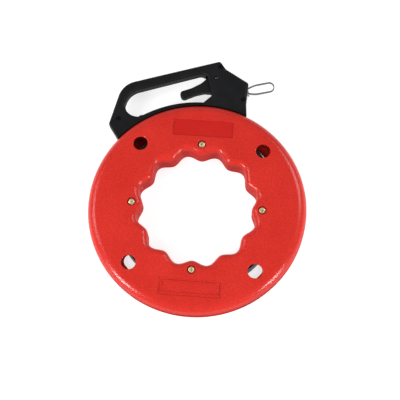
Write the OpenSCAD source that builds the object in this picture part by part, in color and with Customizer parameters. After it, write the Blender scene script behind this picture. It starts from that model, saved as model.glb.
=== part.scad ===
// Fish tape reel: a ring-shaped case of two shells that turns inside a black handle.
// Steel tape is coiled in the case, runs through the handle and ends in a loop at the handle's nose.
// The origin is on the reel's axis at the back face that the reel lies on, +Z is out of the front face,
// +X is along the grip towards the tape's exit, and +Y is from the axis towards the grip.

/* [Case] */
// Outer radius of the case
case_r = 150; // [149:0.5:150]
// Thickness of the case, from the back face to the front face
case_t = 35; // [35:0.5:37]
// Radius of the round on the two outer edges
edge_r = 14; // [13:0.5:14]
// Wall thickness of the shells
wall = 3; // [2.5:0.5:3]
// Width of the slot round the rim, which the handle reaches in through
slot_w = 6; // [6:0.5:7]
// Angle of the case in the handle
case_turn = -18; // [-180:1:180]

/* [Centre hole] */
// Mean radius of the scalloped centre hole
hole_r = 79.3; // [78:0.1:80]
// Height of each finger lobe above and below the mean radius
lobe = 4.1; // [2:0.1:4.5]
// Number of finger lobes
lobes = 12; // [4:4:16]

/* [Windows and panels] */
// Radius of the circle that the tape windows lie on
window_ring_r = 120.5; // [119:0.5:122]
// Radius of a front window
window_r = 10; // [7:0.5:11]
// Half angle of the straight part of a back window
back_window_half = 3.5; // [2:0.5:8]
// Length of the two panels on the front face
panel_l = 84; // [60:1:86]
// Width of the two panels on the front face
panel_w = 23.5; // [16:0.5:24]
// Depth of the two panels
panel_d = 0.8; // [0.4:0.1:1.2]

/* [Case screws] */
// Radius of the circle that the four case screws lie on
screw_ring_r = 89.4; // [89:0.1:90]
// Radius of a case screw's head
case_head_r = 4.5; // [4:0.1:4.8]
// Radius of a case screw's shank
case_shank_r = 2.45; // [2:0.05:2.5]

/* [Tape] */
// Thickness of the steel tape
tape_th = 1.5; // [1:0.1:1.5]
// Width of the steel tape
tape_w = 4; // [3.2:0.1:4]
// Outer radius of the coil of tape
coil_r = 114.5; // [114.5:0.5:116]
// Radial build of the coil
coil_build = 11.2; // [9:0.1:12]
// Height of the coil along the axis
coil_h = 24.4; // [18:0.1:25]

/* [Handle] */
// Thickness of the handle, across its two halves
handle_t = 18; // [18:0.5:20]
// Clearance between the handle and the case
gap = 0.6; // [0.5:0.1:0.8]
// Outer radius of the arc that lies along the case
saddle_r = 156.8; // [156:0.4:158]

/* [Trigger] */
// Thickness of the trigger
trigger_t = 12; // [10:0.5:12]
// Radius of the trigger's pin
pivot_r = 2.5; // [2:0.1:2.5]
// Running clearance between the trigger and its pin
run_fit = 0.05; // [0.02:0.01:0.08]
// Angle that the trigger turns through when it is squeezed
squeeze = 12; // [8:1:12]

/* [Hidden] */
$fn = 96;
eps = 0.01;
half_t = case_t / 2;
half_slot = slot_w / 2;
hub_r = 100;
hub_wall = 2.5;
hub_bore = 60;
boss_r = 7.5;
head_depth = 3.6;
head_h = 2.6;
nut_af = 8;
nut_h = 4;
nut_depth = 4.5;
back_window_ring_r = 114.5;
back_window_r = 9.5;
frame_in = 3;
frame_w = 1.6;

coil_offset = [0, 3];
coil_in = coil_r - coil_build;
anchor_at = 150;
anchor_z = -7;
anchor_sweep = 9;
anchor_t = 1.4;
anchor_w = 16;
anchor_screw_z = -2.6;
anchor_head_r = 2.8;
anchor_head_h = 1;

half_h = handle_t / 2;
face_wall = 3;
saddle_in = case_r + gap;
case_screw_fit = 0.25;

// The handle's outline: x, y and corner radius, going round from the left foot
outline = [
    [-91.9, 150.2, 2.5], [-60.4, 205.1, 31], [83.3, 205.1, 3.5], [88, 191.3, 14], [114.4, 162.2, 5],
    [110.3, 153, 6], [103.4, 134.3, 20], [98.8, 113.8, 0], [60, 100, 0], [-50, 100, 0], [-83.5, 124.5, 0]
];
// The hand opening, whose lower side is cut off by the arc along the case
opening = [
    [-52.8, 190.4, 25], [52, 192.8, 9], [60, 187, 1.5], [59.5, 161.5, 3], [58.5, 156.3, 4],
    [44, 147.5, 0], [0, 140, 0], [-30, 150.4, 0], [-60.8, 150.4, 19.2], [-65.2, 171.4, 13.6]
];
// Centre of the arc's outer side, a little to the left so that the arc thins towards the exit
saddle_c = [-2.5, 0];
bar_pocket = [[-40, 196.5, 2], [46, 196.5, 2], [46, 201.5, 2], [-40, 201.5, 2]];

grip_screws = [[-76.3, 154.5], [81.5, 196], [100.5, 139.5]];
grip_head_r = 3;
grip_shank_r = 1.5;
grip_head_depth = 3;
grip_rib = [14, 1.6, 0.7];
grip_rib_at = [64, 156.5];
grip_rib_pitch = [4.5, 1.1];

pivot = [71.5, 181.2];
hub_radius = 8;
trigger_gap = 0.4;
// The trigger's tongue and its toe over the tape
tongue = [
    [16.6, 162.2, 5.2], [38, 165.3, 25], [50, 165, 12], [59.5, 162.2, 2], [71.5, 168.5, 0], [76, 185, 0],
    [66, 190, 6], [50, 180, 20], [34, 175.9, 25], [15.6, 174.6, 5.2]
];
toe = [[64, 177, 0], [84, 158.6, 1], [97.9, 161.6, 1.5], [99, 167, 3], [78, 187, 0]];
pad_clear = 0.4;
pad_ends = [80, 92];
pad_depth = 5;
trigger_room = [
    [54, 159.5, 0], [67, 160.5, 3], [73.5, 152.5, 0], [100.2, 152.5, 0], [102.5, 168.5, 4],
    [80.5, 190, 4], [63, 193, 3], [58, 190, 0]
];
recess_r = 6.3;
recess_d = 5;
spring_r = 4.4;
wire_r = 0.5;
spring_turns = 4;
spring_pitch = 2 * wire_r + 0.1;
spring_up = 16;
spring_arm = 10;
spring_arm_at = -42;
// The leg slots in the trigger: start angle, end angle and reach, wide enough for the whole squeeze
leg_slots = [[88, 152, 20], [-50, -24, 16]];

// The tape's way through the handle: a straight run out of the coil, a bend, and a straight run out
exit_y = 152.5;
bend_r = 150;
bend_angle = 23;
straight_x = 80;
run_start = 39;
lead_gap = 0.3;
channel_clear = 0.4;
bend_c = [straight_x, exit_y - bend_r];
bend_from = bend_c + bend_r * [-sin(bend_angle), cos(bend_angle)];
run_path = concat(
    [bend_from - run_start * [cos(bend_angle), sin(bend_angle)]],
    [for (i = [0:9]) bend_c + bend_r * [-sin(bend_angle * (1 - i / 9)), cos(bend_angle * (1 - i / 9))]]
);
channel_path = concat(run_path, [[98, exit_y]]);

// The loop at the tape's end: its half width grows along it and a half circle closes it
loop_x = 104;
loop_back = 6.5;
loop_half = 6.85;
loop_grow = 22;
loop_len = 37.5;
loop_tilt = -2.5;
strand = tape_th / 2 + 0.05;
loop_at = [loop_x, exit_y + strand];
function loop_w(u) = strand + (loop_half - strand) * sin(90 * min(1, u / loop_grow));
loop_side = [for (u = [0:2.75:loop_grow]) [u, loop_w(u)]];
loop_tip = [for (a = [90:-15:-90]) [loop_len + loop_half * cos(a), loop_half * sin(a)]];
loop_local = concat(
    [for (p = loop_side) [p.x, -p.y]],
    [for (i = [len(loop_tip) - 1:-1:0]) loop_tip[i]],
    [for (i = [len(loop_side) - 1:-1:0]) loop_side[i]]
);
loop_path = concat(
    [[loop_x - loop_back, exit_y]],
    [for (p = loop_local) loop_at + turned(p, loop_tilt)],
    [[loop_x - loop_back, exit_y + 2 * strand]]
);

guide_pin_r = 2;
guide_pin_at = [[54.5, 0, -1], [67, 0, 1]];
eyelet_x = 106;
eyelet_t = 1.6;
eyelet_lip = 3.4;
eyelet_hole = [14.4, 8];
eyelet_wall = 1;
eyelet_flange = 2.6;
eyelet_c = exit_y + 0.6;
mouth = [
    [94, 149.8, 0], [100, 149.4, 0], [106, 145.9, 0], [106, 160.3, 0], [100, 156.8, 0], [94, 156.4, 0]
];
mouth_half = 3.4;

shoe_r = 140;
shoe_t = 5.7;
shoe_h = 15;
shoe_spans = [[112.5, 8], [51.5, 8]];
stem_end = 161;
stem_w = 10;
stem_h = 5;
shoe_pin_r = 1.5;
shoe_pin_at = 156;
shoe_pin_l = 12;

case_red = [0.86, 0.2, 0.16];
black = [0.13, 0.13, 0.14];
steel = [0.6, 0.61, 0.63];
brass = [0.8, 0.68, 0.38];
rubber = [0.2, 0.2, 0.2];
nylon = [0.85, 0.84, 0.8];

// ---- Outlines ----

function turned(p, a) = [p.x * cos(a) - p.y * sin(a), p.x * sin(a) + p.y * cos(a)];
function unit(v) = v / norm(v);

// Points on an arc round c from p to q, the short way
function arc(c, p, q) =
    let (r = norm(p - c), a = atan2(p.y - c.y, p.x - c.x), b = atan2(q.y - c.y, q.x - c.x) - a)
    let (d = b > 180 ? b - 360 : b < -180 ? b + 360 : b, n = max(3, ceil(abs(d) / 9)))
    [for (i = [0:n]) c + r * [cos(a + d * i / n), sin(a + d * i / n)]];

// The corner at b between a and c, rounded to radius r
function corner(a, b, c, r) =
    let (u = unit(a - b), v = unit(c - b), half = acos(u * v) / 2)
    arc(b + unit(u + v) * r / sin(half), b + u * r / tan(half), b + v * r / tan(half));

// A closed outline of x, y, radius rows as plain points
function rounded(rows) =
    let (n = len(rows), at = function(i) [rows[(i + n) % n][0], rows[(i + n) % n][1]])
    [for (i = [0:n - 1]) each rows[i][2] > 0 ? corner(at(i - 1), at(i), at(i + 1), rows[i][2]) : [at(i)]];

// A strip of constant width along an open path
function side(path, i) =
    let (n = len(path), t = unit(path[min(i + 1, n - 1)] - path[max(i - 1, 0)]))
    [-t.y, t.x];
function ribbon(path, w) =
    let (n = len(path))
    concat(
        [for (i = [0:n - 1]) path[i] + side(path, i) * w / 2],
        [for (i = [n - 1:-1:0]) path[i] - side(path, i) * w / 2]
    );

// The scalloped outline of the centre hole, moved outwards by extra
function scallop(extra) = [for (a = [0:3:357]) (hole_r + extra - lobe * cos(lobes * a)) * [cos(a), sin(a)]];

function quarter(c, r) = [for (a = [0:9:90]) c + r * [cos(a), sin(a)]];
edge_c = [case_r - edge_r, half_t - edge_r];

// ---- Case ----
// Halves are drawn with the middle plane at z = 0 and their outer face up.

module in_case() translate([0, 0, half_t]) rotate([0, 0, case_turn]) children();

module at_screws() for (k = [0:3]) rotate([0, 0, 90 * k]) translate([screw_ring_r, 0, 0]) children();

module hub_pocket() {
    difference() {
        circle(hub_r - hub_wall);
        polygon(scallop(wall));
        for (k = [0:3]) rotate(90 * k) {
            translate([screw_ring_r, 0]) circle(boss_r);
            translate([hole_r, -wall / 2]) square([hub_r - hole_r, wall]);
        }
    }
}

module half_shell() {
    difference() {
        rotate_extrude() polygon(concat(
            [[hub_bore, 0], [case_r, 0]], quarter(edge_c, edge_r), [[hub_bore, half_t]]
        ));
        rotate_extrude() polygon(concat(
            [[hub_r, -1], [case_r + 1, -1], [case_r + 1, half_slot], [case_r - wall, half_slot]],
            quarter(edge_c, edge_r - wall), [[hub_r, half_t - wall]]
        ));
        translate([0, 0, -1]) linear_extrude(half_t - wall + 1) hub_pocket();
        translate([0, 0, -1]) linear_extrude(half_t + 2) polygon(scallop(0));
        at_screws() translate([0, 0, -1]) cylinder(r = case_shank_r + case_screw_fit, h = half_t + 2);
    }
}

module inset_panel(inset) square([panel_l - 2 * inset, panel_w - 2 * inset], center = true);

module panel(y, framed) {
    translate([0, y, half_t - panel_d]) linear_extrude(panel_d + 1) difference() {
        inset_panel(0);
        if (framed) difference() {
            inset_panel(frame_in);
            inset_panel(frame_in + frame_w);
        }
    }
}

module front_shell() {
    color(case_red) in_case() difference() {
        half_shell();
        for (k = [0:3]) rotate([0, 0, 45 + 90 * k]) translate([window_ring_r, 0, 0])
            cylinder(r = window_r, h = half_t + 1);
        at_screws() translate([0, 0, half_t - head_depth])
            cylinder(r = case_head_r + 1.3, h = head_depth + 1);
        panel(112.8, false);
        panel(-114.5, true);
    }
}

module back_window() {
    rotate([0, 0, -back_window_half]) rotate_extrude(angle = 2 * back_window_half)
        translate([back_window_ring_r - back_window_r, 0]) square([2 * back_window_r, half_t + 1]);
    for (s = [-1, 1]) rotate([0, 0, s * back_window_half]) translate([back_window_ring_r, 0, 0])
        cylinder(r = back_window_r, h = half_t + 1);
}

module back_shell() {
    color(case_red) in_case() difference() {
        mirror([0, 0, 1]) difference() {
            half_shell();
            for (k = [0:3]) rotate([0, 0, 45 + 90 * k]) back_window();
            at_screws() translate([0, 0, half_t - nut_depth])
                cylinder(r = (nut_af / 2 + 0.1) / cos(30), h = nut_depth + 1, $fn = 6);
        }
        at_anchor_screw(hub_r - 2 * hub_wall - 4) cylinder(r = 1.6, h = 4 * hub_wall);
    }
}

module case_screws() {
    color(brass) in_case() at_screws() difference() {
        union() {
            translate([0, 0, half_t - head_depth]) cylinder(r = case_head_r, h = head_h);
            translate([0, 0, -half_t + 1]) cylinder(r = case_shank_r, h = case_t - head_depth - 1 + eps);
        }
        for (a = [0, 90]) rotate([0, 0, a]) translate([-2.4, -0.5, half_t - head_depth + head_h - 1.4])
            cube([4.8, 1, 2]);
    }
}

module case_nuts() {
    color(brass) in_case() at_screws() translate([0, 0, -half_t + 0.4]) difference() {
        cylinder(r = nut_af / 2 / cos(30), h = nut_h, $fn = 6);
        translate([0, 0, -1]) cylinder(r = case_shank_r + 0.03, h = nut_h + 2);
    }
}

module tape_coil() {
    color(steel) in_case() translate([coil_offset.x, coil_offset.y, -coil_h / 2])
        rotate_extrude() translate([coil_in, 0]) square([coil_build, coil_h]);
}

// The tape's inner end lies against the hub under the anchor clip, then runs out to the coil
tail_r = hub_r + tape_th / 2 + 0.15;
tail_sweep = 60;
tail_rise = 4.1;
tail_steps = 24;
tail_flat_steps = 5;
function tail_out(i) =
    let (way = max(0, i - tail_flat_steps) / (tail_steps - tail_flat_steps))
    tail_r + tail_rise * (1 - cos(180 * way)) / 2;
tail_path = [for (i = [0:tail_steps]) let (a = anchor_at + anchor_sweep / 2 - i * tail_sweep / tail_steps)
    tail_out(i) * [cos(a), sin(a)]];
anchor_r = hub_r + tape_th + 0.3;

module tape_tail() {
    color(steel) in_case() translate([0, 0, anchor_z - tape_w / 2]) linear_extrude(tape_w)
        polygon(ribbon(tail_path, tape_th));
}

module at_anchor_screw(r)
    rotate([0, 0, anchor_at]) translate([r, 0, anchor_screw_z]) rotate([0, 90, 0]) children();

// A plate that clamps the tape's end against the hub; its screw passes beside the tape
module anchor_clip() {
    color(steel) in_case() difference() {
        rotate([0, 0, anchor_at - anchor_sweep / 2]) rotate_extrude(angle = anchor_sweep)
            translate([anchor_r, anchor_z - tape_w / 2 - 1]) square([anchor_t, anchor_w]);
        at_anchor_screw(hub_r - 1) cylinder(r = 1.7, h = 10);
    }
}

module anchor_screw() {
    color(steel) in_case() at_anchor_screw(anchor_r + anchor_t + 0.1) {
        translate([0, 0, -9]) cylinder(r = 1.5, h = 9 + eps);
        cylinder(r = anchor_head_r, h = anchor_head_h);
    }
}

// ---- Handle ----

module in_handle() translate([0, 0, half_t]) children();

module half_outline() {
    difference() {
        polygon(rounded(outline));
        difference() {
            polygon(rounded(opening));
            translate(saddle_c) circle(saddle_r);
        }
    }
}

module case_room() {
    rotate_extrude() polygon(concat(
        [[0, -1], [saddle_in, -1]], quarter(edge_c, edge_r + gap), [[0, half_t + gap]]
    ));
}

// Height of the tape's middle line at x, inside the bend
function tape_y(x) = bend_c.y + sqrt(bend_r * bend_r - pow(min(0, x - bend_c.x), 2));

module at_guide_pins() for (g = guide_pin_at)
    translate([g[0], tape_y(g[0]) + g[2] * (guide_pin_r + tape_th / 2 + channel_clear), 0]) children();

module at_shoes(r) for (s = shoe_spans) rotate([0, 0, s[0] + s[1] / 2]) translate([r, 0, 0]) children();

// Room for the eyelet's flange or its wall, which reach out past its hole by reach
module eyelet_seat(reach, length)
    translate([eyelet_x, eyelet_c - eyelet_hole.x / 2 - reach])
        cube([length, eyelet_hole.x + 2 * reach, 1 + eyelet_hole.y / 2 + reach]);

// The cavities that both halves share, cut down from the middle plane
module inside() {
    translate([0, 0, -1]) {
        linear_extrude(1 + trigger_t / 2 + trigger_gap) polygon(rounded(trigger_room));
        linear_extrude(1 + tape_w / 2 + channel_clear)
            polygon(ribbon(channel_path, tape_th + 2 * channel_clear));
        linear_extrude(1 + mouth_half) polygon(rounded(mouth));
        linear_extrude(1 + half_h - face_wall) polygon(rounded(bar_pocket));
        eyelet_seat(eyelet_flange + 0.05, eyelet_t);
        eyelet_seat(eyelet_wall + 0.05, 20);
        translate([pivot.x, pivot.y]) cylinder(r = pivot_r, h = half_h + 2);
        at_guide_pins() cylinder(r = guide_pin_r, h = 1 + half_h - face_wall);
        at_shoes(shoe_pin_at) cylinder(r = shoe_pin_r, h = 1 + shoe_pin_l / 2);
        at_shoes(case_r - 2) translate([0, -stem_w / 2, 0])
            cube([stem_end - case_r + 2, stem_w, 1 + stem_h / 2]);
    }
}

module half_handle() {
    difference() {
        linear_extrude(half_h) half_outline();
        case_room();
        inside();
    }
}

module at_grip_screws() for (p = grip_screws) translate([p.x, p.y, 0]) children();

module handle_front() {
    color(black) in_handle() {
        difference() {
            half_handle();
            at_grip_screws() {
                translate([0, 0, -1]) cylinder(r = grip_shank_r + 0.2, h = half_h + 2);
                translate([0, 0, half_h - grip_head_depth]) cylinder(r = grip_head_r + 0.5, h = 5);
            }
            translate([pivot.x, pivot.y, half_h - 1.6]) cylinder(r = pivot_r + 0.4, h = 3);
        }
        for (i = [0:2]) translate(grip_rib_at + i * grip_rib_pitch) translate([0, 0, half_h - eps])
            rotate([0, 0, -58]) cube([grip_rib.x, grip_rib.y, grip_rib.z + eps]);
    }
}

module handle_back() {
    color(black) in_handle() difference() {
        mirror([0, 0, 1]) half_handle();
        at_grip_screws() translate([0, 0, -half_h + face_wall]) cylinder(r = grip_shank_r, h = half_h);
        spring_leg(0.15);
    }
}

module handle_screws() {
    color(black) in_handle() at_grip_screws() difference() {
        union() {
            translate([0, 0, half_h - grip_head_depth]) cylinder(r = grip_head_r, h = 2);
            translate([0, 0, -half_h + face_wall])
                cylinder(r = grip_shank_r, h = 2 * half_h - face_wall - grip_head_depth + eps);
        }
        for (a = [0, 90]) rotate([0, 0, a]) translate([-1.7, -0.35, half_h - grip_head_depth + 0.9])
            cube([3.4, 0.7, 2]);
    }
}

module shoe(span) {
    color(nylon) in_handle() difference() {
        union() {
            rotate([0, 0, span[0]]) rotate_extrude(angle = span[1])
                translate([shoe_r, -shoe_h / 2]) square([shoe_t, shoe_h]);
            rotate([0, 0, span[0] + span[1] / 2]) translate([shoe_r + 2, -stem_w / 2, -stem_h / 2])
                cube([stem_end - shoe_r - 2, stem_w, stem_h]);
        }
        rotate([0, 0, span[0] + span[1] / 2]) translate([shoe_pin_at, 0, -stem_h])
            cylinder(r = shoe_pin_r, h = 2 * stem_h);
    }
}

module left_shoe() shoe(shoe_spans[0]);

module right_shoe() shoe(shoe_spans[1]);

module shoe_pins() {
    color(steel) in_handle() at_shoes(shoe_pin_at) translate([0, 0, -shoe_pin_l / 2])
        cylinder(r = shoe_pin_r, h = shoe_pin_l);
}

// A point of the brake pad at rest, from its place once squeezed: x, and height over the tape
function pad_point(x, up) =
    let (squeezed = [x, exit_y + tape_th / 2 + pad_clear + up])
    pivot + turned(squeezed - pivot, squeeze);

pad_rows = [
    pad_point(pad_ends[0], 0), pad_point(pad_ends[1], 0),
    pad_point(pad_ends[1], pad_depth), pad_point(pad_ends[0], pad_depth)
];

module trigger_outline() {
    difference() {
        union() {
            polygon(rounded(tongue));
            polygon(rounded(toe));
            translate(pivot) circle(hub_radius);
        }
        polygon(pad_rows);
        translate(pivot) circle(pivot_r + run_fit);
    }
}

// Room for the spring's coil and its two legs, in the back of the trigger
module spring_room() {
    translate(pivot) {
        circle(recess_r);
        for (s = leg_slots) polygon([[0, 0], s[2] * [cos(s[0]), sin(s[0])], s[2] * [cos(s[1]), sin(s[1])]]);
    }
}

module trigger() {
    color(black) in_handle() translate([0, 0, -trigger_t / 2]) {
        linear_extrude(recess_d) difference() {
            trigger_outline();
            spring_room();
        }
        translate([0, 0, recess_d - eps]) linear_extrude(trigger_t - recess_d + eps) trigger_outline();
    }
}

module brake_pad() {
    color(rubber) in_handle() translate([0, 0, -trigger_t / 2 + 1]) linear_extrude(trigger_t - 2)
        polygon(pad_rows);
}

module trigger_pin() {
    color(steel) in_handle() translate([pivot.x, pivot.y, -half_h + 1.6])
        cylinder(r = pivot_r, h = handle_t - 3.6);
}

module wire(p, q, extra) {
    d = q - p;
    translate(p) rotate([0, acos(d.z / norm(d)), atan2(d.y, d.x)])
        cylinder(r = wire_r + extra, h = norm(d), $fn = 24);
}

// Legs of the torsion spring, from the middle plane: one into the handle, one along the trigger's toe
coil_low = -trigger_t / 2 + wire_r + 0.3;
module spring_leg(extra) {
    z = coil_low + (spring_turns - 1) * spring_pitch;
    wire([pivot.x - spring_r, pivot.y, z], [pivot.x - spring_r, pivot.y + spring_up, z], extra);
}

module spring_foot() {
    from = pivot + turned([spring_r, 0], spring_arm_at);
    to = pivot + turned([spring_r + spring_arm, 0], spring_arm_at);
    wire([from.x, from.y, coil_low], [to.x, to.y, coil_low], 0);
}

module trigger_spring() {
    color(steel) in_handle() {
        for (i = [0:spring_turns - 1]) translate([pivot.x, pivot.y, coil_low + i * spring_pitch])
            rotate_extrude($fn = 48) translate([spring_r, 0]) circle(r = wire_r + 0.06, $fn = 24);
        spring_leg(0);
        spring_foot();
    }
}

module guide_pins() {
    color(steel) in_handle() at_guide_pins() translate([0, 0, -half_h + face_wall])
        cylinder(r = guide_pin_r, h = handle_t - 2 * face_wall);
}

// A rounded rectangle across the tape, y by z, drawn in the plane of the eyelet
module stadium(size) {
    square([size.x - size.y, size.y], center = true);
    for (s = [-1, 1]) translate([s * (size.x - size.y) / 2, 0]) circle(d = size.y);
}

module exit_eyelet() {
    color(steel) in_handle() translate([eyelet_x, eyelet_c, 0]) rotate([90, 0, 90]) difference() {
        union() {
            linear_extrude(eyelet_t) square(eyelet_hole + 2 * eyelet_flange * [1, 1], center = true);
            linear_extrude(eyelet_t + eyelet_lip) stadium(eyelet_hole + 2 * eyelet_wall * [1, 1]);
        }
        translate([0, 0, -1]) linear_extrude(eyelet_t + eyelet_lip + 2) stadium(eyelet_hole);
    }
}

// ---- Tape in the handle ----

module tape_strip(path) {
    color(steel) in_handle() translate([0, 0, -tape_w / 2]) linear_extrude(tape_w)
        polygon(ribbon(path, tape_th));
}

module tape_run() tape_strip(run_path);

module tape_lead() tape_strip([[straight_x + lead_gap, exit_y], [loop_x - loop_back - eps, exit_y]]);

module tape_loop() tape_strip(loop_path);

module loop_ferrule() {
    color(steel) in_handle() translate([loop_x - loop_back + 0.2, exit_y + strand, 0]) rotate([90, 0, 90])
        linear_extrude(loop_back - 0.4) difference() {
            square([4 * strand + 1.6, tape_w + 1.6], center = true);
            square([4 * strand + 0.04, tape_w + 0.04], center = true);
        }
}

front_shell();
back_shell();
case_screws();
case_nuts();
tape_coil();
tape_tail();
anchor_clip();
anchor_screw();
handle_front();
handle_back();
handle_screws();
left_shoe();
right_shoe();
shoe_pins();
trigger();
brake_pad();
trigger_pin();
trigger_spring();
guide_pins();
exit_eyelet();
tape_run();
tape_lead();
tape_loop();
loop_ferrule();
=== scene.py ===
"""Fish tape reel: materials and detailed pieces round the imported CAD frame. Lengths are in millimetres."""
import math
import random

import bmesh
import bpy
from mathutils import Matrix, Vector


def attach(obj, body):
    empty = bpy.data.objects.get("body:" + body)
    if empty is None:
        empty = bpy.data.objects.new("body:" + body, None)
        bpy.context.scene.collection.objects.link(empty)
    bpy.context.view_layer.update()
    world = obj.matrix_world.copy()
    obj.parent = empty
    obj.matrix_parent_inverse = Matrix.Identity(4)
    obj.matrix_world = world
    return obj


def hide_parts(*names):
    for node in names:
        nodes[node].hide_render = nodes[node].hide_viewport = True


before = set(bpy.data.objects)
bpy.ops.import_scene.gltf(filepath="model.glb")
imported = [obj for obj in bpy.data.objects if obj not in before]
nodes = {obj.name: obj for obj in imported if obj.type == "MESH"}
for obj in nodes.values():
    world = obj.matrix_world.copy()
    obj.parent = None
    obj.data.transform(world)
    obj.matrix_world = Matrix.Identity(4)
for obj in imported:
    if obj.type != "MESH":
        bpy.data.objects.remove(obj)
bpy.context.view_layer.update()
scene = bpy.context.scene
MM = 0.001

# The reel's own dimensions, as in the CAD source: half thicknesses of case and handle, the case's turn at
# rest, its radius, edge rounding, wall and hub, its screws and windows, the trigger's pivot, and the tape
HALF_T, HALF_H = 17.5, 9.0
CASE_TURN = -18.0
CASE_R, EDGE_R, WALL = 150.0, 14.0, 3.0
HUB_R = 100.0
SCREW_AT = 89.4
WINDOW_AT, WINDOW_R = 120.5, 10.0
PIVOT = (71.5, 181.2)
EXIT_Y = 152.5
TAPE_TH, TAPE_W = 1.5, 4.0
COIL_R, LAYER, ROW = 114.5, 1.6, 4.06
COIL_LAYERS, COIL_ROWS, COIL_OFFSET = 7, 6, 3
PANEL_W, PANEL_H, PANEL_DEPTH = 84, 23.5, 0.8
BEND_R, BEND_DEG = 150, 23


def cosd(a):
    return math.cos(math.radians(a))


def sind(a):
    return math.sin(math.radians(a))


# ---------------------------------------------------------------- materials

def shader(name):
    mat = bpy.data.materials.new(name)
    mat.use_nodes = True
    tree = mat.node_tree
    return mat, tree, tree.nodes["Principled BSDF"]


def node(tree, kind, **inputs):
    made = tree.nodes.new(kind)
    for key, value in inputs.items():
        made.inputs[key.replace("_", " ")].default_value = value
    return made


def noise(tree, scale, detail=3.0, stretch=None):
    """Noise in the row frame's own metres, so its grain has a real size; stretch scales the axes."""
    where = tree.nodes.new("ShaderNodeTexCoord")
    made = node(tree, "ShaderNodeTexNoise", Scale=scale, Detail=detail, Roughness=0.55)
    if stretch:
        mapping = node(tree, "ShaderNodeMapping", Scale=stretch)
        tree.links.new(where.outputs["Object"], mapping.inputs["Vector"])
        tree.links.new(mapping.outputs["Vector"], made.inputs["Vector"])
    else:
        tree.links.new(where.outputs["Object"], made.inputs["Vector"])
    return made.outputs["Fac"]


def ramp(tree, source, low, high, a, b):
    """Colour a where source is low and b where it is high."""
    made = tree.nodes.new("ShaderNodeValToRGB")
    made.color_ramp.elements[0].position, made.color_ramp.elements[1].position = low, high
    made.color_ramp.elements[0].color = (*a, 1)
    made.color_ramp.elements[1].color = (*b, 1)
    tree.links.new(source, made.inputs["Fac"])
    return made.outputs["Color"]


def spread(tree, source, low, high):
    """A value from low to high as source goes from 0.3 to 0.7."""
    made = node(tree, "ShaderNodeMapRange", From_Min=0.3, From_Max=0.7, To_Min=low, To_Max=high)
    tree.links.new(source, made.inputs["Value"])
    return made.outputs["Result"]


def bump(tree, source, depth, strength=1.0, under=None):
    made = node(tree, "ShaderNodeBump", Strength=strength, Distance=depth)
    tree.links.new(source, made.inputs["Height"])
    if under:
        tree.links.new(under, made.inputs["Normal"])
    return made.outputs["Normal"]


def plastic(name, dark, light, rough, grain, grain_depth, shine=0.45, fleck=0.0):
    """Moulded plastic: a slow drift in the colour, flecks in it, uneven gloss and moulded grain."""
    mat, tree, out = shader(name)
    drift = noise(tree, 22.0, 4.0)
    colour = ramp(tree, drift, 0.32, 0.68, dark, light)
    if fleck:
        mix = tree.nodes.new("ShaderNodeMix")
        mix.data_type, mix.blend_type = "RGBA", "MULTIPLY"
        mix.inputs["Factor"].default_value = 1.0
        tree.links.new(colour, mix.inputs["A"])
        flecks = ramp(tree, noise(tree, 520.0, 1.0), 0.3, 0.7, (1 - fleck,) * 3, (1 + fleck,) * 3)
        tree.links.new(flecks, mix.inputs["B"])
        colour = mix.outputs["Result"]
    tree.links.new(colour, out.inputs["Base Color"])
    tree.links.new(spread(tree, noise(tree, 90.0, 4.0), rough[0], rough[1]), out.inputs["Roughness"])
    fine = bump(tree, noise(tree, grain, 2.0), grain_depth)
    tree.links.new(bump(tree, noise(tree, 30.0, 2.0), 0.00012, 0.5, fine), out.inputs["Normal"])
    out.inputs["Specular IOR Level"].default_value = shine
    return mat


def metal(name, dark, light, rough, scale, stretch, depth, metallic=1.0):
    """Metal with fine marks along its length and a slight stain."""
    mat, tree, out = shader(name)
    stain = noise(tree, 160.0, 4.0)
    tree.links.new(ramp(tree, stain, 0.35, 0.7, dark, light), out.inputs["Base Color"])
    marks = noise(tree, scale, 3.0, stretch)
    tree.links.new(spread(tree, marks, rough[0], rough[1]), out.inputs["Roughness"])
    tree.links.new(bump(tree, marks, depth), out.inputs["Normal"])
    out.inputs["Metallic"].default_value = metallic
    return mat


RED = plastic(
    "red_plastic", (0.555, 0.0245, 0.017), (0.605, 0.0295, 0.0205), (0.165, 0.22), 800.0, 0.00016,
    0.26, 0.13)
# The case's steep faces and walls take darker copies of the red: painted shade, besides their more matt
# finish.
SHADED_STEEP_RED = plastic(
    "red_steep_painted_shade", (0.48, 0.018, 0.013), (0.52, 0.022, 0.0155), (0.28, 0.34), 800.0, 0.00016, 0.13, 0.13)
SHADED_WALL_RED = plastic(
    "red_wall_painted_shade", (0.36, 0.0135, 0.010), (0.40, 0.0165, 0.012), (0.42, 0.52), 800.0, 0.00016, 0.03, 0.13)
PANEL_RED = plastic(
    "red_panel", (0.50, 0.013, 0.0095), (0.53, 0.0155, 0.0115), (0.34, 0.44), 2200.0, 0.00002, 0.2)
BLACK = plastic(
    "black_plastic", (0.0074, 0.0076, 0.0083), (0.0116, 0.0119, 0.0129), (0.42, 0.55), 900.0, 0.00010, 0.10)
BRASS = metal(
    "brass", (0.66, 0.57, 0.31), (0.84, 0.77, 0.49), (0.26, 0.40), 900.0, (1, 1, 1), 0.00001, 0.4)
ZINC = metal(
    "zinc_steel", (0.50, 0.51, 0.53), (0.66, 0.67, 0.69), (0.22, 0.36), 900.0, (1, 1, 1), 0.00001)
SPRING = metal(
    "tape_steel", (0.15, 0.15, 0.15), (0.24, 0.24, 0.245), (0.34, 0.5), 700.0, (0.25, 1, 1), 0.00002)
BLUED = metal(
    "blued_steel", (0.17, 0.175, 0.19), (0.24, 0.245, 0.26), (0.24, 0.36), 900.0, (1, 1, 1), 0.00001)
# The coil's copy of the tape steel is far darker than the loop's: painted shade for the inside of the case.
SHADED_COIL_STEEL = metal(
    "tape_steel_painted_shade", (0.035, 0.035, 0.036), (0.055, 0.055, 0.056), (0.36, 0.5), 700.0, (0.25, 1, 1), 0.00002)
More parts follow.
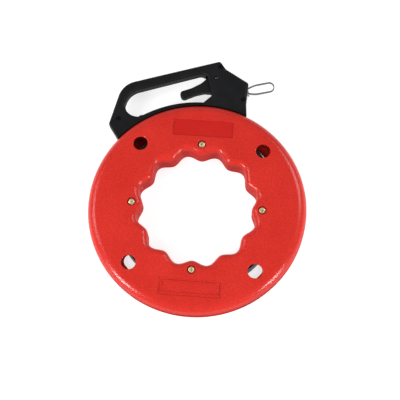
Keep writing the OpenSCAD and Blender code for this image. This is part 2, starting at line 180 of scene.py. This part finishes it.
DARK_STEEL = metal(
    "black_oxide", (0.02, 0.02, 0.021), (0.035, 0.035, 0.037), (0.34, 0.5), 900.0, (1, 1, 1), 0.00001)
NYLON = plastic("nylon", (0.76, 0.75, 0.70), (0.82, 0.81, 0.77), (0.32, 0.42), 900.0, 0.00002)
RUBBER = plastic("rubber", (0.022, 0.022, 0.023), (0.032, 0.032, 0.033), (0.72, 0.85), 1200.0, 0.00006)

# ---------------------------------------------------------------- mesh tools


def loft(loops, closed=False):
    """Quads between loops of the same number of points. Open lofts get a flat cap at each end."""
    count = len(loops[0])
    verts = [p for loop in loops for p in loop]
    faces = []
    steps = len(loops) if closed else len(loops) - 1
    for i in range(steps):
        a, b = i * count, (i + 1) % len(loops) * count
        for k in range(count):
            m = (k + 1) % count
            faces.append((a + k, a + m, b + m, b + k))
    if not closed:
        faces.append(tuple(reversed(range(count))))
        faces.append(tuple((len(loops) - 1) * count + k for k in range(count)))
    return verts, faces


def joined(*shapes):
    verts, faces = [], []
    for v, f in shapes:
        start = len(verts)
        verts += list(v)
        faces += [tuple(start + i for i in face) for face in f]
    return verts, faces


def placed(shape, turn=0.0, lift=0.0, move=(0, 0)):
    """The shape moved, turned about the axis and lifted."""
    verts, faces = shape
    c, s = cosd(turn), sind(turn)
    out = []
    for x, y, z in verts:
        x, y = x + move[0], y + move[1]
        out.append((x * c - y * s, x * s + y * c, z + lift))
    return out, list(faces)


def mesh_object(name, shape):
    mesh = bpy.data.meshes.new(name)
    mesh.from_pydata([(x * MM, y * MM, z * MM) for x, y, z in shape[0]], [], shape[1])
    mesh.validate()
    made = bpy.data.objects.new(name, mesh)
    scene.collection.objects.link(made)
    bpy.context.view_layer.objects.active = made
    tool = bpy.context.evaluated_depsgraph_get()
    tool.update()
    return made


def face_out(mesh):
    """Makes the faces of each closed part point outwards."""
    work = bmesh.new()
    work.from_mesh(mesh)
    bmesh.ops.recalc_face_normals(work, faces=work.faces)
    work.to_mesh(mesh)
    work.free()


def cut(made, shapes):
    """Takes the shapes, which don't touch each other, out of the piece."""
    face_out(made.data)
    tool = mesh_object("cutter", joined(*shapes))
    face_out(tool.data)
    boolean = made.modifiers.new("cut", "BOOLEAN")
    boolean.operation, boolean.solver, boolean.object = "DIFFERENCE", "EXACT", tool
    graph = bpy.context.evaluated_depsgraph_get()
    result = bpy.data.meshes.new_from_object(made.evaluated_get(graph))
    made.modifiers.clear()
    old = made.data
    made.data = result
    bpy.data.meshes.remove(old)
    bpy.data.objects.remove(tool)


def smooth(made, angle=32):
    made.data.polygons.foreach_set("use_smooth", [True] * len(made.data.polygons))
    made.data.set_sharp_from_angle(angle=math.radians(angle))
    weighted = made.modifiers.new("normals", "WEIGHTED_NORMAL")
    weighted.keep_sharp = True
    weighted.weight = 80


def finish_piece(made, body, mats, stands_for=()):
    if not isinstance(mats, (list, tuple)):
        mats = [mats]
    made.data.materials.clear()
    for mat in mats:
        made.data.materials.append(mat)
    smooth(made)
    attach(made, body)
    if stands_for:
        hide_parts(*stands_for)
    return made


def circle(r, n, z, at=(0, 0), start=0.0):
    turns = [start + 360 * i / n for i in range(n)]
    return [(at[0] + r * cosd(a), at[1] + r * sind(a), z) for a in turns]


def turned_solid(profile, n=48, at=(0, 0), start=0.0):
    """A solid of revolution from (radius, height) pairs, bottom to top."""
    return loft([circle(r, n, z, at, start) for r, z in profile])


def corner(a, b, c, r, step=7.0):
    """Points round the corner at b between a and c, with radius r."""
    a, b, c = Vector(a), Vector(b), Vector(c)
    u, v = (a - b).normalized(), (c - b).normalized()
    half = math.acos(max(-1, min(1, u.dot(v)))) / 2
    centre = b + (u + v).normalized() * (r / math.sin(half))
    p, q = b + u * r / math.tan(half), b + v * r / math.tan(half)
    t0, t1 = math.atan2(*(p - centre).yx), math.atan2(*(q - centre).yx)
    d = (t1 - t0 + math.pi) % (2 * math.pi) - math.pi
    n = max(4, int(abs(math.degrees(d)) / step))
    turns = [t0 + d * i / n for i in range(n + 1)]
    return [(centre.x + r * math.cos(t), centre.y + r * math.sin(t)) for t in turns]


def outline(rows, spacing=2.5):
    """Rows of (x, y, corner radius, edge rounding) as points (x, y, edge rounding), none far apart."""
    n, points = len(rows), []
    for i, (x, y, r, e) in enumerate(rows):
        if r > 0:
            arc = corner(rows[i - 1][:2], (x, y), rows[(i + 1) % n][:2], r)
            points += [(px, py, e) for px, py in arc]
        else:
            points.append((x, y, e))
    out = []
    for i, p in enumerate(points):
        q = points[(i + 1) % len(points)]
        gap = math.dist(p[:2], q[:2])
        steps = max(1, round(gap / spacing))
        out += [tuple(p[k] + (q[k] - p[k]) * j / steps for k in range(3)) for j in range(steps)]
    return out


def inward(points):
    """Unit normals that point into a closed outline."""
    n = len(points)
    pairs = zip(points, points[1:] + points[:1])
    side = 1 if sum(p[0] * q[1] - q[0] * p[1] for p, q in pairs) > 0 else -1
    out = []
    for i in range(n):
        total = Vector((0, 0))
        for p, q in ((points[i - 1], points[i]), (points[i], points[(i + 1) % n])):
            d = Vector((q[0] - p[0], q[1] - p[1]))
            if d.length > 1e-6:
                total += Vector((-d.y, d.x)).normalized() * side
        out.append(total.normalized())
    return out


def inset_loop(points, normals, by, z):
    """by and z are functions of the point's own edge rounding."""
    return [(p[0] + n.x * by(p[2]), p[1] + n.y * by(p[2]), z(p[2])) for p, n in zip(points, normals)]


def rounded_slab(points, top, bottom=0.0, chamfer=0.25, steps=7):
    """A slab with a rounded upper edge and a small chamfer at its parting face."""
    normals = inward(points)
    loops = [
        inset_loop(points, normals, lambda e: chamfer, lambda e: bottom),
        inset_loop(points, normals, lambda e: 0.0, lambda e: bottom + chamfer),
    ]
    for i in range(steps + 1):
        a = 90 * i / steps
        loops.append(inset_loop(
            points, normals, lambda e: e * (1 - cosd(a)), lambda e: top - e * (1 - sind(a))))
    return loft(loops)


def flared_hole(points, top, bottom=-2.0, chamfer=0.25, steps=7, meets=10.0):
    """A cutter for a hole whose upper edge is rounded; it meets the top face at a small angle."""
    normals = inward(points)
    loops = [
        inset_loop(points, normals, lambda e: -chamfer, lambda e: bottom),
        inset_loop(points, normals, lambda e: -chamfer, lambda e: 0.0),
        inset_loop(points, normals, lambda e: 0.0, lambda e: chamfer),
    ]
    for i in range(steps + 1):
        a = (90 - meets) * i / steps
        loops.append(inset_loop(
            points, normals, lambda e: -e * (1 - cosd(a)), lambda e: top - e * (1 - sind(a))))
    last = 90 - meets
    loops.append(inset_loop(
        points, normals,
        lambda e: -e * (1 - cosd(last)) - (0.3 + e * (1 - sind(last))) * math.tan(math.radians(last)),
        lambda e: top + 0.3,
    ))
    return loft(loops)


def prism(points, low, high):
    return loft([[(p[0], p[1], low) for p in points], [(p[0], p[1], high) for p in points]])


# ---------------------------------------------------------------- case

SIDES = 288
SCALLOP = [79.3 - 4.1 * cosd(12 * 360 * i / SIDES) for i in range(SIDES)]
SCALLOP = [(r * cosd(360 * i / SIDES), r * sind(360 * i / SIDES)) for i, r in enumerate(SCALLOP)]
SCALLOP_IN = inward(SCALLOP)


def scallop_loop(out, z):
    """The scalloped outline, moved out into the material by out."""
    return [(p[0] - n.x * out, p[1] - n.y * out, z) for p, n in zip(SCALLOP, SCALLOP_IN)]


def half_shell(fillet):
    """Half of the case with its middle plane at z = 0, as one closed skin."""
    ring = lambda r, z: circle(r, SIDES, z)
    loops = [scallop_loop(0.35, 0.0), scallop_loop(0.0, 0.35)]
    for i in range(10):
        a = 90 * i / 9
        loops.append(scallop_loop(fillet * (1 - cosd(a)), HALF_T - fillet * (1 - sind(a))))
    loops += [ring(97, HALF_T), ring(130, HALF_T)]
    edge_c, edge_z = CASE_R - EDGE_R, HALF_T - EDGE_R
    for i in range(15):
        a = 90 - 90 * i / 14
        loops.append(ring(edge_c + EDGE_R * cosd(a), edge_z + EDGE_R * sind(a)))
    loops += [ring(149.9, 3.2), ring(149.6, 3.0), ring(147.4, 3.0), ring(147.1, 3.2)]
    for i in range(9):
        a = 90 * i / 8
        loops.append(ring(edge_c + (EDGE_R - WALL) * cosd(a), edge_z + (EDGE_R - WALL) * sind(a)))
    loops += [ring(HUB_R + 0.8, HALF_T - WALL), ring(HUB_R, HALF_T - WALL - 0.8), ring(HUB_R, 0.3)]
    loops.append(ring(HUB_R - 0.3, 0.0))
    return loft(loops, closed=True)


def window_cutter(at, r, edge):
    points = [(at[0] + r * cosd(7.5 * i), at[1] + r * sind(7.5 * i), edge) for i in range(48)]
    return flared_hole(points, HALF_T, bottom=9.0)


def ring_at(r, angle):
    return (r * cosd(angle), r * sind(angle))


def screw_cutter(at, bore, depth, shank, sides=32, start=0.0):
    """A through hole for a screw's shank, widened from the outer face to bore, with a broken edge."""
    floor = HALF_T - depth
    shape = [(shank, -3), (shank, floor), (bore, floor), (bore, HALF_T - 0.5), (bore + 0.15, HALF_T - 0.2)]
    shape += [(bore + 0.5, HALF_T + 0.15), (bore + 0.5, HALF_T + 2)]
    return turned_solid(shape, sides, at, start)


def box_outline(w, h, at, r, e=0.3):
    signs = ((-1, -1), (1, -1), (1, 1), (-1, 1))
    return outline([(at[0] + sx * w / 2, at[1] + sy * h / 2, r, e) for sx, sy in signs], 500)


def recess(points, depth):
    """A shallow recess with drafted sides and a softened rim."""
    normals = inward(points)
    levels = [(0.25, HALF_T - depth), (0.05, HALF_T - depth + 0.12), (0.0, HALF_T - 0.2)]
    levels += [(-0.5, HALF_T + 0.15), (-0.5, HALF_T + 1)]
    return loft([[(p[0] + n.x * d, p[1] + n.y * d, z) for p, n in zip(points, normals)] for d, z in levels])


def framed_recess(w, h, at, depth, inset, width):
    """A recess that leaves a raised frame standing in it."""
    outer, inner = box_outline(w, h, at, 1.0), box_outline(w - 2 * inset, h - 2 * inset, at, 1.0)
    out_n, in_n = inward(outer), inward(inner)
    low = HALF_T - depth
    levels_out = [(0.2, low), (0.0, HALF_T - 0.2), (-0.5, HALF_T + 0.15), (-0.5, HALF_T + 1)]
    levels_in = [(0.4, HALF_T + 1), (0.4, HALF_T + 0.15), (0.0, HALF_T - 0.2), (-0.2, low)]
    loops = []
    for points, normals, levels in ((outer, out_n, levels_out), (inner, in_n, levels_in)):
        loops += [[(p[0] + n.x * d, p[1] + n.y * d, z) for p, n in zip(points, normals)] for d, z in levels]
    middle = box_outline(w - 2 * inset - 2 * width, h - 2 * inset - 2 * width, at, 0.8)
    return loft(loops, closed=True), recess(middle, depth)


def front_case():
    made = mesh_object("case_front_skin", half_shell(9.2))
    cutters = [window_cutter(ring_at(WINDOW_AT, 45 + 90 * k), WINDOW_R, 0.9) for k in range(4)]
    cutters += [screw_cutter(ring_at(SCREW_AT, 90 * k), 5.8, 3.6, 2.7) for k in range(4)]
    cutters.append(recess(box_outline(PANEL_W, PANEL_H, (0, 112.8), 1.2), PANEL_DEPTH))
    cutters += framed_recess(PANEL_W, PANEL_H, (0, -114.5), PANEL_DEPTH, 3.0, 1.6)
    cut(made, cutters)
    finish_case(made, False)
    finish_piece(made, "case", [RED, SHADED_STEEP_RED, SHADED_WALL_RED, PANEL_RED], ["front_shell"])
    matt_shaded_walls(made)
    back_turn = Matrix.Rotation(math.radians(-CASE_TURN), 4, "Z")
    panel_z = (2 * HALF_T - PANEL_DEPTH) * MM
    for face in made.data.polygons:
        c = back_turn @ face.center
        on_panel = abs(c.x) < 0.0425 and 0.1 < c.y < 0.127 and -0.00025 < c.z - panel_z < 0.00015
        if on_panel and face.normal.z > 0.5:
            face.material_index = 3
    return made


def matt_shaded_walls(made):
    """The steeper a face of the case, the more matt it is, because it slid along the mould as it opened;
    steep faces also take a darker copy of the red, which is painted shade.
    """
    for face in made.data.polygons:
        if abs(face.normal.z) < 0.48:
            face.material_index = 2 if abs(face.normal.z) < 0.2 else 1


def finish_case(made, back):
    """From the half's own coordinates to the case's place in the row frame."""
    turn = Matrix.Rotation(math.radians(CASE_TURN), 4, "Z")
    lift = Matrix.Translation((0, 0, HALF_T * MM))
    flip = Matrix.Diagonal((1, 1, -1, 1)) if back else Matrix.Identity(4)
    made.data.transform(turn @ lift @ flip)
    if back:
        made.data.flip_normals()


def back_window_cutter(angle):
    """A window drawn out along an arc, with round ends."""
    points = []
    for i in range(13):
        points.append((*ring_at(124, angle - 3.5 + 7 * i / 12), 0.9))
    for s, turn in ((1, 0), (-1, 180)):
        c = ring_at(114.5, angle + 3.5 * s)
        for i in range(1, 24):
            a = angle + 3.5 * s + turn + 180 * i / 24
            points.append((c[0] + 9.5 * cosd(a), c[1] + 9.5 * sind(a), 0.9))
        if s > 0:
            for i in range(13):
                points.append((*ring_at(105, angle + 3.5 - 7 * i / 12), 0.9))
    return flared_hole(points, HALF_T, bottom=9.0)


def back_case():
    made = mesh_object("case_back_skin", half_shell(2.5))
    cutters = [back_window_cutter(45 + 90 * k) for k in range(4)]
    cutters += [screw_cutter(ring_at(SCREW_AT, 90 * k), 4.1 / cosd(30), 4.5, 2.7, 6) for k in range(4)]
    cut(made, cutters)
    finish_case(made, True)
    finish_piece(made, "case", [RED, SHADED_STEEP_RED, SHADED_WALL_RED], ["back_shell"])
    matt_shaded_walls(made)
    return made


def case_screws():
    """Pan heads with a domed top and a cross recess."""
    heads = []
    for k in range(4):
        at = ring_at(SCREW_AT, 90 * k)
        floor = HALF_T - 3.6
        profile = [(2.45, -16.5), (2.45, floor), (4.3, floor), (4.5, floor + 0.25), (4.5, floor + 1.1)]
        profile += [(4.5 * cosd(a), floor + 1.1 + 1.5 * sind(a)) for a in range(10, 90, 10)]
        profile.append((0.02, floor + 2.6))
        heads.append(placed(turned_solid(profile, 40, at), CASE_TURN, HALF_T))
    made = mesh_object("case_screw_set", joined(*heads))
    crosses = [[], []]
    for k in range(4):
        x, y = ring_at(SCREW_AT, 90 * k)
        for arms, (w, d) in zip(crosses, ((2.8, 0.7), (0.7, 2.8))):
            corners = [(x - w, y - d), (x + w, y - d), (x + w, y + d), (x - w, y + d)]
            arms.append(placed(prism(corners, HALF_T - 2.5, HALF_T), CASE_TURN, HALF_T))
    for arms in crosses:
        cut(made, arms)
    return finish_piece(made, "case", BRASS, ["case_screws"])


# ---------------------------------------------------------------- coil of tape

def strip_section(half_th, half_w, r=0.35):
    """A rounded rectangle: across the thickness, across the width."""
    out = []
    for sx, sy, start in ((1, 1, 0), (-1, 1, 90), (-1, -1, 180), (1, -1, 270)):
        for a in (0, 45, 90):
            out.append((sx * (half_th - r) + r * cosd(start + a), sy * (half_w - r) + r * sind(start + a)))
    return out


def windings():
    """Seven layers of six turns, each lying a little loose, with the coil to one side of the hub."""
    rng = random.Random(7)
    section = strip_section(TAPE_TH / 2 - 0.03, TAPE_W / 2 - 0.04)
    turns = []
    for layer in range(COIL_LAYERS):
        for row in range(COIL_ROWS):
            r0 = COIL_R - LAYER / 2 - LAYER * layer
            z0 = ROW * (row - (COIL_ROWS - 1) / 2)
            waves = [(n, rng.uniform(-0.14, 0.14) / n ** 0.5, rng.uniform(0, 360)) for n in (2, 3, 5)]
            lift = [(n, rng.uniform(-0.16, 0.16) / n ** 0.5, rng.uniform(0, 360)) for n in (1, 2, 4)]
            loops = []
            for i in range(120):
                a = 3 * i
                r = r0 - 0.12 + sum(w * cosd(n * a + p) for n, w, p in waves) * 0.6
                z = z0 + sum(w * cosd(n * a + p) for n, w, p in lift) * 0.4
                c, s = cosd(a), sind(a)
                loops.append([((r + th) * c, (r + th) * s + COIL_OFFSET, z + w) for th, w in section])
            turns.append(loft(loops, closed=True))
    made = mesh_object("tape_windings", placed(joined(*turns), CASE_TURN, HALF_T))
    face_out(made.data)
    return finish_piece(made, "case", SHADED_COIL_STEEL, ["tape_coil"])


# ---------------------------------------------------------------- handle

OUTER_ROWS = [
    (-83.8, 125.1, 1.2, 0.9), (-91.9, 150.2, 3.2, 2.8), (-60.4, 205.1, 31, 5), (83.3, 205.1, 4.2, 4),
    (88, 191.3, 14, 4), (114.4, 162.2, 5, 4.5), (110.3, 153, 6, 4), (103.4, 134.3, 20, 3),
    (98.8, 113.8, 1.2, 0.9),
]
SADDLE_IN, SADDLE_OUT, SADDLE_X = 150.6, 156.8, -2.5


def arc_points(r, start, end, e, n, x=0.0):
    points = [ring_at(r, start + (end - start) * i / n) for i in range(n + 1)]
    return [(px + x, py, 0.0, e) for px, py in points]


def handle_outline():
    right = math.degrees(math.atan2(113.8, 98.8))
    left = math.degrees(math.atan2(125.1, -83.8))
    return outline(OUTER_ROWS + arc_points(SADDLE_IN, right + 0.8, left - 0.8, 0.9, 60))


def opening_outline():
    left = math.degrees(math.atan2(150.4, -46.8 - SADDLE_X))
    right = math.degrees(math.atan2(148.97, 46.43 - SADDLE_X))
    rows = [(-60.8, 150.4, 19.2, 3.4), (-65.2, 171.4, 13.6, 4.2), (-52.8, 190.4, 25, 5)]
    rows += [(52, 192.8, 9, 4.5), (60, 187, 1.5, 2.5), (59.5, 161.5, 3, 2.5), (58.5, 156.3, 4, 2.5)]
    rows += arc_points(SADDLE_OUT, right + 0.6, left - 0.6, 3.0, 44, SADDLE_X)
    return outline(rows)


def ribbon(path, width):
    """A strip of constant width along an open path."""
    out_a, out_b = [], []
    for i, p in enumerate(path):
        a, b = path[max(i - 1, 0)], path[min(i + 1, len(path) - 1)]
        t = (Vector(b) - Vector(a)).normalized()
        out_a.append((p[0] - t.y * width / 2, p[1] + t.x * width / 2))
        out_b.append((p[0] + t.y * width / 2, p[1] - t.x * width / 2))
    return out_a + out_b[::-1]


BEND_C = (80, EXIT_Y - BEND_R)


def tape_path():
    """The tape's run through the handle: straight off the coil, then round a bend to the exit."""
    turns = [BEND_DEG - BEND_DEG * i / 12 for i in range(13)]
    bend = [(BEND_C[0] - BEND_R * sind(a), BEND_C[1] + BEND_R * cosd(a)) for a in turns]
    return [(bend[0][0] - 39 * cosd(BEND_DEG), bend[0][1] - 39 * sind(BEND_DEG))] + bend


TRIGGER_ROOM = [
    (54, 159.5, 0, 0), (67, 160.5, 3, 0), (73.5, 152.5, 0, 0), (100.2, 152.5, 0, 0), (102.5, 168.5, 4, 0),
    (80.5, 190, 4, 0), (63, 193, 3, 0), (58, 190, 0, 0),
]
GRIP_SCREWS = [(-76.3, 154.5), (81.5, 196), (100.5, 139.5)]


def grip_rib(at):
    """A low rounded rib, 14 by 1.6 mm, that stands 0.7 mm proud of the front face."""
    rows = [(0, 0, 0.5, 0.5), (14, 0, 0.5, 0.5), (14, 1.6, 0.5, 0.5), (0, 1.6, 0.5, 0.5)]
    rib = rounded_slab(outline(rows, 500), 1.7, 0.0, 0.1, 4)
    return placed(placed(rib, -58, HALF_H - 1.0), move=at)


def add_parts(made, shapes):
    """Adds closed parts to the piece's mesh."""
    verts, faces = joined(*shapes)
    base = [tuple(v.co / MM) for v in made.data.vertices]
    own = [tuple(p.vertices) for p in made.data.polygons]
    mesh = bpy.data.meshes.new(made.name)
    verts, faces = joined((base, own), (verts, faces))
    mesh.from_pydata([(x * MM, y * MM, z * MM) for x, y, z in verts], [], faces)
    face_out(mesh)
    old = made.data
    made.data = mesh
    bpy.data.meshes.remove(old)


def handle_half(name, back):
    made = mesh_object(name, rounded_slab(handle_outline(), HALF_H))
    cut(made, [flared_hole(opening_outline(), HALF_H)])
    room = [(x, y) for x, y, e in outline(TRIGGER_ROOM, 30)]
    cut(made, [prism(room, -3, 6.4)])
    cut(made, [prism(ribbon(tape_path() + [(101, EXIT_Y)], TAPE_TH + 0.8), -2, 2.4)])
    mouth = outline([(100, 146, 1.5, 0), (130, 146, 0, 0), (130, 160.2, 0, 0), (100, 160.2, 1.5, 0)], 30)
    lip = [(105.9, 144.8), (130, 144.8), (130, 161.4), (105.9, 161.4)]
    flange = [(105.9, 143.2), (107.7, 143.2), (107.7, 163.0), (105.9, 163.0)]
    cut(made, [prism([(x, y) for x, y, e in mouth], -2.5, 3.4)])
    cut(made, [prism(lip, -2.2, 5.1)])
    cut(made, [prism(flange, -2.3, 6.7)])
    pin_hole = [(2.5, -2), (2.5, HALF_H - 1.6), (2.9, HALF_H - 1.6), (2.9, HALF_H - 0.5)]
    pin_hole += [(3.5, HALF_H + 0.1), (3.5, HALF_H + 1)]
    holes = [turned_solid(pin_hole, 40, PIVOT)]
    screw_hole = [(1.7, -2), (1.7, 6), (3.5, 6), (3.5, HALF_H - 0.4)]
    screw_hole += [(3.9, HALF_H + 0.1), (3.9, HALF_H + 1)]
    if back:
        screw_hole = [(1.5, -2), (1.5, 6)]
    holes += [turned_solid(screw_hole, 24 if back else 32, at) for at in GRIP_SCREWS]
    cut(made, holes)
    if not back:
        add_parts(made, [grip_rib((64 + 4.5 * i, 156.5 + 1.1 * i)) for i in range(3)])
    flip = Matrix.Diagonal((1, 1, -1, 1)) if back else Matrix.Identity(4)
    made.data.transform(Matrix.Translation((0, 0, HALF_T * MM)) @ flip)
    if back:
        made.data.flip_normals()
    return finish_piece(made, "handle", BLACK, ["handle_back" if back else "handle_front"])


# ---------------------------------------------------------------- trigger

TONGUE = [
    (16.6, 162.2, 5.2, 2.6), (38, 165.3, 25, 2.6), (50, 165, 12, 2.6), (59.5, 162.2, 2, 1.4),
    (73, 168.7, 1, 0.8), (84, 158.6, 1, 1.0), (97.9, 161.6, 1.5, 1.0), (99, 167, 3, 1.0),
    (79, 186, 5, 2.0), (66, 190, 6, 2.4), (50, 180, 20, 2.6), (34, 175.9, 25, 2.6), (15.6, 174.6, 5.2, 2.6),
]


def trigger():
    points = outline(TONGUE)
    normals = inward(points)
    loops = []
    for i in range(7):
        a = 90 - 90 * i / 6
        loops.append(inset_loop(
            points, normals, lambda e: e * (1 - cosd(a)), lambda e: -6 + e * (1 - sind(a))))
    for i in range(7):
        a = 90 * i / 6
        loops.append(inset_loop(
            points, normals, lambda e: e * (1 - cosd(a)), lambda e: 6 - e * (1 - sind(a))))
    made = mesh_object("trigger_lever", placed(loft(loops), 0, HALF_T))
    cut(made, [placed(turned_solid([(2.55, -8), (2.55, 8)], 40, PIVOT), 0, HALF_T)])
    recess_cut = turned_solid([(6.3, -8), (6.3, -1)], 40, PIVOT)
    cut(made, [placed(recess_cut, 0, HALF_T)])
    return finish_piece(made, "trigger", BLACK, ["trigger"])


def trigger_pin():
    """A blued pin with domed ends, sunk below the handle's faces."""
    dome = [(2.5 * cosd(a), 1.5 * sind(a)) for a in range(0, 90, 12)]
    profile = [(r, -5.9 - z) for r, z in reversed(dome)] + [(r, 5.9 + z) for r, z in dome]
    made = mesh_object("trigger_pin_domed", placed(turned_solid(profile, 40, PIVOT), 0, HALF_T))
    return finish_piece(made, "handle", BLUED, ["trigger_pin"])


# ---------------------------------------------------------------- tape's end

def swept_strip(path, half_th, half_w):
    """A flat strip on edge along a path in the plane of the reel."""
    loops = []
    for i, p in enumerate(path):
        a, b = path[max(i - 1, 0)], path[min(i + 1, len(path) - 1)]
        t = (Vector(b) - Vector(a)).normalized()
        loops.append([(p[0] - t.y * s, p[1] + t.x * s, z) for s, z in strip_section(half_th, half_w, 0.45)])
    return loft(loops)


def loop_path():
    """Out along one side, round the eye and back along the other."""
    strand, half, grow, length, tilt = 0.8, 6.85, 22.0, 37.5, -2.5
    along = [grow * i / 16 for i in range(17)]
    local = [(u, -(strand + (half - strand) * sind(90 * u / grow))) for u in along]
    local += [(length + half * cosd(a), half * sind(a)) for a in range(-90, 91, 5)]
    local += [(x, -y) for x, y in local[16::-1]]
    base = (104, EXIT_Y + strand)
    path = [(97.5, EXIT_Y), (100, EXIT_Y)]
    c, s = cosd(tilt), sind(tilt)
    path += [(base[0] + x * c - y * s, base[1] + x * s + y * c) for x, y in local]
    path += [(100, EXIT_Y + 2 * strand), (97.5, EXIT_Y + 2 * strand)]
    return path


def tape_loop():
    made = mesh_object("tape_end_loop", placed(swept_strip(loop_path(), 0.75, 2.0), 0, HALF_T))
    face_out(made.data)
    return finish_piece(made, "tape_end", SPRING, ["tape_loop"])


# ---------------------------------------------------------------- carried-over CAD nodes

def keep(name, mat, bevel=0.0):
    made = nodes[name]
    made.data.materials.clear()
    made.data.materials.append(mat)
    if bevel:
        soft = made.modifiers.new("edges", "BEVEL")
        soft.width, soft.segments, soft.limit_method = bevel * MM, 2, "ANGLE"
        soft.angle_limit = math.radians(40)
    made.data.polygons.foreach_set("use_smooth", [True] * len(made.data.polygons))
    made.data.set_sharp_from_angle(angle=math.radians(32))


for name, mat, bevel in (
    ("case_nuts", BRASS, 0.3), ("anchor_clip", ZINC, 0.2), ("anchor_screw", ZINC, 0.2),
    ("tape_tail", SPRING, 0.2), ("handle_screws", DARK_STEEL, 0.2), ("left_shoe", NYLON, 0.4),
    ("right_shoe", NYLON, 0.4), ("shoe_pins", ZINC, 0.2), ("brake_pad", RUBBER, 0.3),
    ("trigger_spring", ZINC, 0.0), ("guide_pins", ZINC, 0.2), ("exit_eyelet", ZINC, 0.4),
    ("tape_run", SPRING, 0.2), ("tape_lead", SPRING, 0.2), ("loop_ferrule", ZINC, 0.25),
):
    keep(name, mat, bevel)

front_case()
back_case()
case_screws()
windings()
handle_half("handle_front_skin", False)
handle_half("handle_back_skin", True)
trigger()
trigger_pin()
tape_loop()

# ---------------------------------------------------------------- stage, light, camera


def floor():
    size = 4.0
    mesh = bpy.data.meshes.new("floor")
    corners = [(-size, -size, 0), (size, -size, 0), (size, size, 0), (-size, size, 0)]
    mesh.from_pydata(corners, [], [(0, 1, 2, 3)])
    made = bpy.data.objects.new("floor", mesh)
    scene.collection.objects.link(made)
    made.location.z = -0.0003
    mat, tree, out = shader("floor")
    shade = ramp(tree, noise(tree, 3.0), 0.3, 0.7, (0.45, 0.45, 0.45), (0.47, 0.47, 0.47))
    tree.links.new(shade, out.inputs["Base Color"])
    out.inputs["Roughness"].default_value = 0.9
    out.inputs["Specular IOR Level"].default_value = 0.1
    out.inputs["Emission Color"].default_value = (1, 1, 1, 1)
    out.inputs["Emission Strength"].default_value = 0.75
    mesh.materials.append(mat)


def area(name, where, size, power):
    """A white rectangular lamp, aimed at the middle of the reel's back face. It is placed in metres."""
    lamp = bpy.data.lights.new(name, "AREA")
    lamp.shape, lamp.size, lamp.size_y = "RECTANGLE", size[0], size[1]
    lamp.energy = power
    made = bpy.data.objects.new(name, lamp)
    scene.collection.objects.link(made)
    made.location = where
    made.rotation_euler = (-Vector(where)).to_track_quat("-Z", "Y").to_euler()


def camera():
    """At the photograph's viewing angle, with the photograph's framing."""
    az, el, roll = math.radians(-7.35), math.radians(73.17), math.radians(-6.27)
    distance = 1.48726
    back = Vector((math.sin(az) * math.cos(el), -math.cos(az) * math.cos(el), math.sin(el)))
    side = Vector((0, 0, 1)).cross(back).normalized()
    up = back.cross(side)
    right = math.cos(roll) * side + math.sin(roll) * up
    top = -math.sin(roll) * side + math.cos(roll) * up
    lens = bpy.data.cameras.new("camera")
    lens.sensor_width, lens.lens = 36.0, 96.15
    lens.shift_x, lens.shift_y = 2.58 / 400, 13.03 / 400
    made = bpy.data.objects.new("camera", lens)
    scene.collection.objects.link(made)
    made.matrix_world = Matrix((
        (right.x, top.x, back.x, back.x * distance), (right.y, top.y, back.y, back.y * distance),
        (right.z, top.z, back.z, back.z * distance), (0, 0, 0, 1)))
    scene.camera = made


def studio():
    """White round the horizon, dimmer overhead."""
    world = bpy.data.worlds.new("studio")
    scene.world = world
    world.use_nodes = True
    tree = world.node_tree
    where = tree.nodes.new("ShaderNodeTexCoord")
    split = tree.nodes.new("ShaderNodeSeparateXYZ")
    tree.links.new(where.outputs["Generated"], split.inputs["Vector"])
    grey = ramp(tree, split.outputs["Z"], 0.2, 0.85, (0.42, 0.42, 0.42), (0.14, 0.14, 0.14))
    tree.links.new(grey, tree.nodes["Background"].inputs["Color"])
    tree.nodes["Background"].inputs["Strength"].default_value = 1.0


scene.view_settings.view_transform = "Standard"
studio()

floor()
area("left_low", (-1.24, -0.42, 0.66), (0.26, 0.52), 16.0)
area("right_low", (0.95, -1.06, 0.55), (0.26, 0.48), 15.0)
area("left_side", (-1.2, 0.7, 1.2), (0.7, 0.7), 11.0)
area("right_side", (1.3, 0.5, 1.2), (0.7, 0.7), 11.5)
camera()
